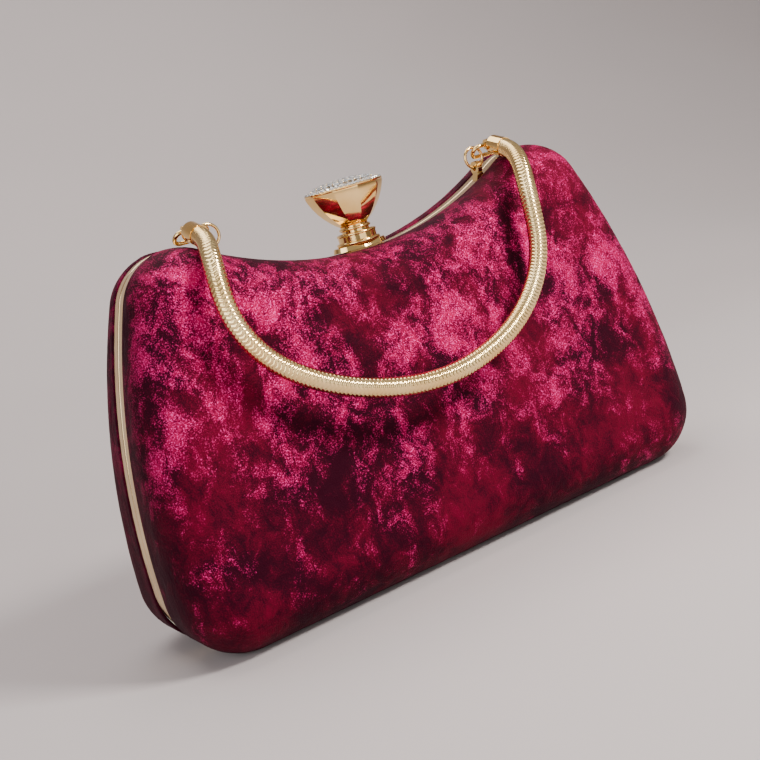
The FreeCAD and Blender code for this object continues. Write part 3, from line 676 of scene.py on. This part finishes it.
def cut_stone(points, faces, place, up, radius, height, turn):
    """Add one round cut stone: a table, eight kite facets, a girdle and a point below."""
    across = up.cross(Vector((0.3, 1, 0.1))).normalized()
    along = up.cross(across)
    start = len(points)

    def corner(reach, lift, angle):
        points.append(place + reach * (math.cos(angle) * across + math.sin(angle) * along) + lift * up)

    for k in range(8):
        corner(radius * 0.56, height, turn + math.pi * k / 4)
    for k in range(8):
        corner(radius, 0.12 * height, turn + math.pi * (k + 0.5) / 4)
    for k in range(8):
        corner(radius, 0.0, turn + math.pi * (k + 0.5) / 4)
    points.append(place - up * radius * 0.75)
    faces.append(tuple(start + k for k in range(8)))
    for k in range(8):
        n = (k + 1) % 8
        faces.append((start + k, start + 8 + k, start + n))
        faces.append((start + n, start + 8 + k, start + 8 + n))
        faces.append((start + 8 + k, start + 16 + k, start + 16 + n, start + 8 + n))
        faces.append((start + 16 + k, start + 24, start + 16 + n))


def dome_places(margin, shift, lift):
    """Places on a honeycomb grid, a margin inside the dome's oval, with each one's row and column."""
    long, short = DOME_OVAL
    for row in range(-4, 5):
        for column in range(-7, 8):
            x = (column + 0.5 * (row % 2) + shift) * STONE_PITCH
            y = (row + lift) * ROW_PITCH
            if (x / (long - margin)) ** 2 + (y / (short - margin)) ** 2 <= 1:
                yield row, column, x, y


def stone_dome():
    """The dome of stones, set close together in a bright bed."""
    base = cup_high[2]
    long, short = DOME_OVAL
    rise = stone_high - base - 0.55

    def level(x, y):
        share = max(0.0, 1 - (x / (long + 0.6)) ** 2 - (y / (short + 0.6)) ** 2)
        return base + 0.2 + rise * math.sqrt(share)

    bed_sections = [(long, short, base - 0.6)]
    for share in np.linspace(1.0, 0.06, 12):
        bed_sections.append((long * share, short * share, level(long * share, 0.0) - 0.75))
    points, faces = capped(bed_sections, 72)
    bed = faced_out(piece("stone_bed", points, faces, rim_gold, "clasp_knob"))
    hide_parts("clasp_stones")
    points, faces = [], []
    for row, column, x, y in dome_places(0.9, 0.0, 0.0):
        fall_x = level(x - 0.1, y) - level(x + 0.1, y)
        fall_y = level(x, y - 0.1) - level(x, y + 0.1)
        size = 1.06 + 0.07 * noise.noise(Vector((x, y, 3.0)))
        place = Vector((x, y, level(x, y) - 0.1))
        turn = 1.7 * row + 2.3 * column
        cut_stone(points, faces, place, Vector((fall_x, fall_y, 0.2)).normalized(), size, 0.62, turn)
    piece("dome_stones", points, faces, stone, "clasp_knob", smooth=False)
    points, faces = [], []
    for _, _, x, y in dome_places(0.6, 0.5, 0.333):
        grain(points, faces, Vector((x, y, level(x, y) + 0.15)), 0.27)
    piece("stone_grains", points, faces, rim_gold, "clasp_knob")


def grain(points, faces, place, radius):
    """Add one small round grain of metal that holds the stones beside it."""
    start = len(points)
    for lift, reach in ((-0.8, 0.6), (0.0, 1.0), (0.75, 0.66)):
        for k in range(8):
            angle = math.pi * k / 4
            points.append(place + Vector((reach * math.cos(angle), reach * math.sin(angle), lift)) * radius)
    points.append(place + Vector((0, 0, radius)))
    for r in range(2):
        for k in range(8):
            n = (k + 1) % 8
            faces.append((start + 8 * r + k, start + 8 * r + n, start + 8 * r + 8 + n, start + 8 * r + 8 + k))
    faces += [(start + 16 + k, start + 16 + (k + 1) % 8, start + 24) for k in range(8)]
    faces.append(tuple(start + k for k in reversed(range(8))))


def turned_ring(name, ring_radius, profile, body):
    """A ring turned round the clasp's axis, whose profile is (out from the radius, level)."""
    points = []
    around = 96
    for k in range(around):
        angle = 2 * math.pi * k / around
        for out, level in profile:
            reach = ring_radius + out
            points.append((reach * math.cos(angle), reach * math.sin(angle), level))
    size = len(profile)
    faces = []
    for here in range(around):
        there = (here + 1) % around
        for low in range(size):
            high = (low + 1) % size
            faces.append((here * size + low, there * size + low, there * size + high, here * size + high))
    return faced_out(piece(name, points, faces, clasp_gold, body))


def round_profile(level, thick, steps=14):
    """A round bead's profile about a level."""
    return [
        (thick * math.cos(2 * math.pi * k / steps), level + thick * math.sin(2 * math.pi * k / steps))
        for k in range(steps)
    ]


clasp_cup()
stone_bezel()
stone_dome()
collar_low, collar_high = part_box("clasp_collar")
collar_top = collar_high[2] / MM
base_top = collar_low[2] / MM
turned_ring("collar_foot_bead", 6.7, round_profile(base_top + 0.55, 0.62), "front_half")
turned_ring("collar_top_bead", 6.15, round_profile(collar_top - 0.05, 0.5), "front_half")
turned_ring("stem_bead", 4.75, round_profile(collar_top + 1.75, 0.55), "clasp_knob")

# ---------------------------------------------------------------- finishes of the metal parts

FINISHES = {
    "front_frame": rim_gold, "back_frame": rim_gold, "clasp_base": clasp_gold, "clasp_collar": clasp_gold,
    "clasp_stem": clasp_gold, "clasp_rod": steel, "clasp_hook": steel, "clasp_catch": steel,
    "front_shell": board, "back_shell": board,
}
for side in ("left", "right"):
    for part in ("ring_lug", "ring", "link", "end_cap"):
        FINISHES[f"{side}_{part}"] = clasp_gold
    for part in ("hinge_front_leaf", "hinge_back_leaf", "hinge_pin"):
        FINISHES[f"{side}_{part}"] = steel
for name, material in FINISHES.items():
    mesh = nodes[name].data
    mesh.materials.clear()
    mesh.materials.append(material)

# ---------------------------------------------------------------- floor, light and camera


def sweep_backdrop():
    """A pale floor that curves up into a backdrop behind the purse."""
    width, front, back, bend, height = 4.0, -2.5, 0.9, 0.7, 3.0
    profile = [(front, 0.0), (back - bend, 0.0)]
    for angle in np.linspace(0, math.pi / 2, 24)[1:]:
        profile.append((back - bend + bend * math.sin(angle), bend - bend * math.cos(angle)))
    profile.append((back, height))
    points = [(x, y, z) for y, z in profile for x in (-width, width)]
    faces = [(2 * k, 2 * k + 1, 2 * k + 3, 2 * k + 2) for k in range(len(profile) - 1)]
    mesh = bpy.data.meshes.new("backdrop")
    mesh.from_pydata(points, [], faces)
    mesh.polygons.foreach_set("use_smooth", [True] * len(faces))
    mesh.materials.append(backdrop)
    made = bpy.data.objects.new("backdrop", mesh)
    bpy.context.scene.collection.objects.link(made)


def area_light(name, place, aim, size, power, colour):
    """A square soft light at a place, facing a point."""
    lamp = bpy.data.lights.new(name, "AREA")
    lamp.shape = "SQUARE"
    lamp.size, lamp.energy, lamp.color = size, power, colour
    made = bpy.data.objects.new(name, lamp)
    made.location = place
    made.rotation_euler = (Vector(aim) - Vector(place)).to_track_quat("-Z", "Y").to_euler()
    bpy.context.scene.collection.objects.link(made)


sweep_backdrop()
middle = (0.0, 0.0, 0.06)
area_light("key", (0.32, -0.52, 0.55), middle, 0.18, 9.0, (1.0, 0.97, 0.93))
area_light("left_fill", (-0.75, -0.45, 0.35), middle, 0.6, 4.0, (0.95, 0.97, 1.0))
area_light("top", (0.0, 0.25, 0.9), middle, 0.7, 6.0, (1.0, 0.98, 0.96))
area_light("front_fill", (0.1, -1.1, 0.15), middle, 0.8, 3.0, (1.0, 0.97, 0.95))
world = bpy.data.worlds.new("room")
world.use_nodes = True
world.node_tree.nodes["Background"].inputs["Color"].default_value = (0.80, 0.77, 0.76, 1)
world.node_tree.nodes["Background"].inputs["Strength"].default_value = 0.55
bpy.context.scene.world = world

AZIMUTH, ELEVATION, ROLL = math.radians(-28.0), math.radians(9.2), math.radians(-16.1)
DISTANCE, LENS = 0.404, 57.8
target = Vector((-0.0067, 0.0, 0.0596))
toward = Vector((math.sin(AZIMUTH) * math.cos(ELEVATION), -math.cos(AZIMUTH) * math.cos(ELEVATION),
                 math.sin(ELEVATION)))
camera_data = bpy.data.cameras.new("camera")
camera_data.lens, camera_data.sensor_width = LENS, 36.0
camera_data.clip_start = 0.01
camera = bpy.data.objects.new("camera", camera_data)
camera.matrix_world = (
    Matrix.Translation(target + toward * DISTANCE)
    @ (-toward).to_track_quat("-Z", "Y").to_matrix().to_4x4()
    @ Matrix.Rotation(ROLL, 4, "Z")
)
bpy.context.scene.collection.objects.link(camera)
bpy.context.scene.camera = camera
